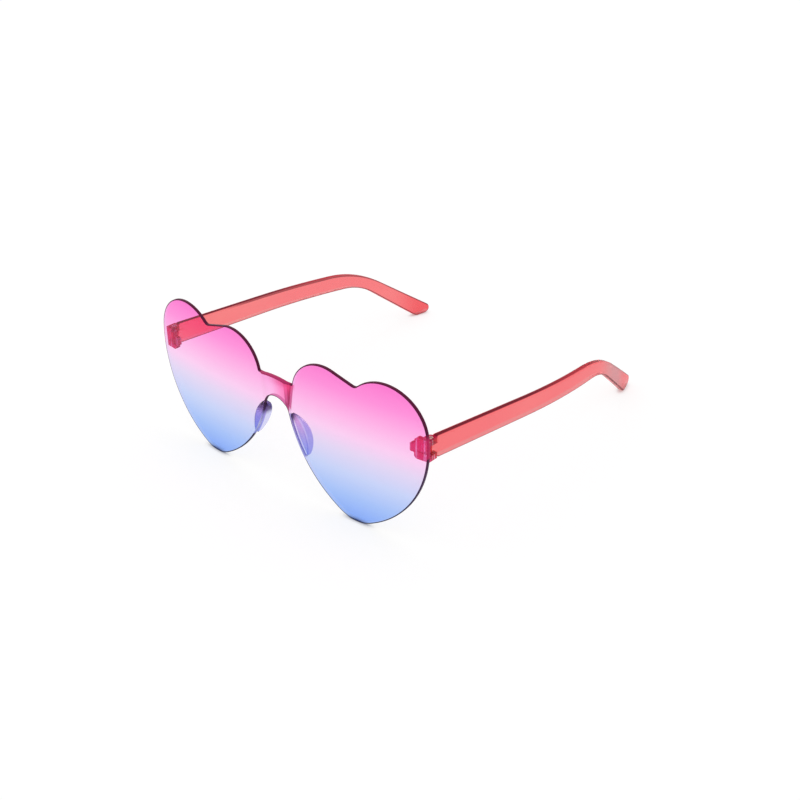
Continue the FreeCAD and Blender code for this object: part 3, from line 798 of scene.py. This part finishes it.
def makeScrews():
    low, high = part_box("hinge_screw_right")
    sizes = dict(hingeScrew["sizes"], Length=high.z - low.z, Top=high.z)
    sizes["Half Span"] = (low.x + high.x) / 2
    sizes["Back"] = (low.y + high.y) / 2
    tree = screwTree(makeSteel())
    maker = bpy.data.objects.new("screw_maker", bpy.data.meshes.new("screw_maker"))
    scene.collection.objects.link(maker)
    grown = maker.modifiers.new("hinge screws", "NODES")
    grown.node_group = tree
    for item in tree.interface.items_tree:
        if item.in_out == "INPUT":
            grown[item.identifier] = sizes[item.name]
    view = bpy.context.evaluated_depsgraph_get()
    mesh = bpy.data.meshes.new_from_object(maker.evaluated_get(view))
    maker.modifiers.remove(grown)
    bpy.data.objects.remove(maker)
    mesh.name = "hinge_screws"
    piece = bpy.data.objects.new("hinge_screws", mesh)
    scene.collection.objects.link(piece)
    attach(piece, "front")
    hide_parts("hinge_screw_right", "hinge_screw_left")
    print("hinge screws:", len(mesh.polygons), "faces")


makeScrews()

# studio: pale floor, soft light, white surroundings

studio = {
    "floorSpan": 6.0,
    "floorGrey": 0.8,
    "shadowShare": 0.3,
    "contactReach": 0.0028,
    "contactShade": tone(106, 114, 146),
    "contactBack": tone(206, 182, 182),  # under the coral ends, which let more light through
    "backFrom": (-0.02, 0.04),
    "contactFrom": (0.12, 0.8),
    "contactGrey": 0.1,
    "contactSamples": 8,
    "glowLoss": 0.82,  # what the shadowed share takes off the floor's own white
    "floorDrop": 0.00005,
    "skyLight": 0.85,
    "keyPower": 0.9,
    "keySize": 1.2,
    "keyPlace": (-0.5, 0.5, 1.3),
}


def grey(level):
    return (level, level, level, 1.0)


def seenRays(finish):  # camera, mirror and see-through rays, which get the white surroundings
    path = finish.add("ShaderNodeLightPath")
    camera = finish.wire(path, "Is Camera Ray")
    return camera.most(finish.wire(path, "Is Glossy Ray")).most(finish.wire(path, "Is Transmission Ray"))


def makeFloor():
    finish = Finish("pale_floor")
    seen = seenRays(finish)
    lit = finish.add("ShaderNodeBsdfDiffuse", None, {"Color": grey(studio["floorGrey"])})
    share = studio["shadowShare"]
    near = finish.add("ShaderNodeAmbientOcclusion", {"samples": studio["contactSamples"]},
                      {"Distance": studio["contactReach"]})
    contact = (1 - finish.wire(near, "AO")).step(*studio["contactFrom"])
    back = finish.axes(finish.place())[1].step(*studio["backFrom"])
    under = finish.mix(back, studio["contactShade"], studio["contactBack"])
    pale = finish.mix(contact, grey(1.0), under)
    dim = finish.mix(contact * (1 - back), grey(share), grey(studio["contactGrey"]))
    shade = finish.add("ShaderNodeBsdfDiffuse", None, {"Color": dim})
    glow = finish.add("ShaderNodeEmission", None,
                      {"Color": pale, "Strength": 1.0 - share * studio["glowLoss"]})
    white = finish.add("ShaderNodeAddShader", None, {0: finish.wire(shade), 1: finish.wire(glow)})
    both = finish.add("ShaderNodeMixShader", None, {0: seen, 1: finish.wire(lit), 2: finish.wire(white)})
    half = studio["floorSpan"] / 2
    height = cadBox[0].z - studio["floorDrop"]
    corners = [(-half, -half), (half, -half), (half, half), (-half, half)]
    mesh = bpy.data.meshes.new("floor")
    mesh.from_pydata([(x, y, height) for x, y in corners], [], [(0, 1, 2, 3)])
    mesh.materials.append(finish.done(finish.wire(both)))
    floor = bpy.data.objects.new("floor", mesh)
    scene.collection.objects.link(floor)


def makeSky():
    finish = Finish("studio", "worlds", "ShaderNodeOutputWorld")
    seen = seenRays(finish)
    dim = finish.add("ShaderNodeBackground", None, {"Color": grey(1.0), "Strength": studio["skyLight"]})
    white = finish.add("ShaderNodeBackground", None, {"Color": grey(1.0), "Strength": 1.0})
    both = finish.add("ShaderNodeMixShader", None, {0: seen, 1: finish.wire(dim), 2: finish.wire(white)})
    scene.world = finish.done(finish.wire(both))


def makeKey():
    lamp = bpy.data.lights.new("soft_key", "AREA")
    lamp.energy = studio["keyPower"]
    lamp.size = studio["keySize"]
    key = bpy.data.objects.new("soft_key", lamp)
    key.location = studio["keyPlace"]
    key.rotation_mode = "QUATERNION"
    key.rotation_quaternion = Vector(studio["keyPlace"]).to_track_quat("Z", "Y")
    scene.collection.objects.link(key)


makeFloor()
makeSky()
makeKey()
print("studio set")

# camera at the photograph's viewing angle

eye = {
    "turn": math.radians(40.644),
    "lift": math.radians(29.506),
    "place": (0.297063, -0.354636, 0.265998),
    "lens": 52.912,
    "film": 36.0,
    "near": 0.01,
}


def makeEye():
    turn, lift = eye["turn"], eye["lift"]
    back = Vector((math.sin(turn) * math.cos(lift), -math.cos(turn) * math.cos(lift), math.sin(lift)))
    right = Vector((math.cos(turn), math.sin(turn), 0.0))
    above = back.cross(right)
    camera = bpy.data.objects.new("camera", bpy.data.cameras.new("camera"))
    camera.data.lens = eye["lens"]
    camera.data.sensor_width = eye["film"]
    camera.data.clip_start = eye["near"]
    turned = Matrix((right, above, back)).transposed().to_4x4()
    camera.matrix_world = Matrix.Translation(eye["place"]) @ turned
    scene.collection.objects.link(camera)
    scene.camera = camera


makeEye()
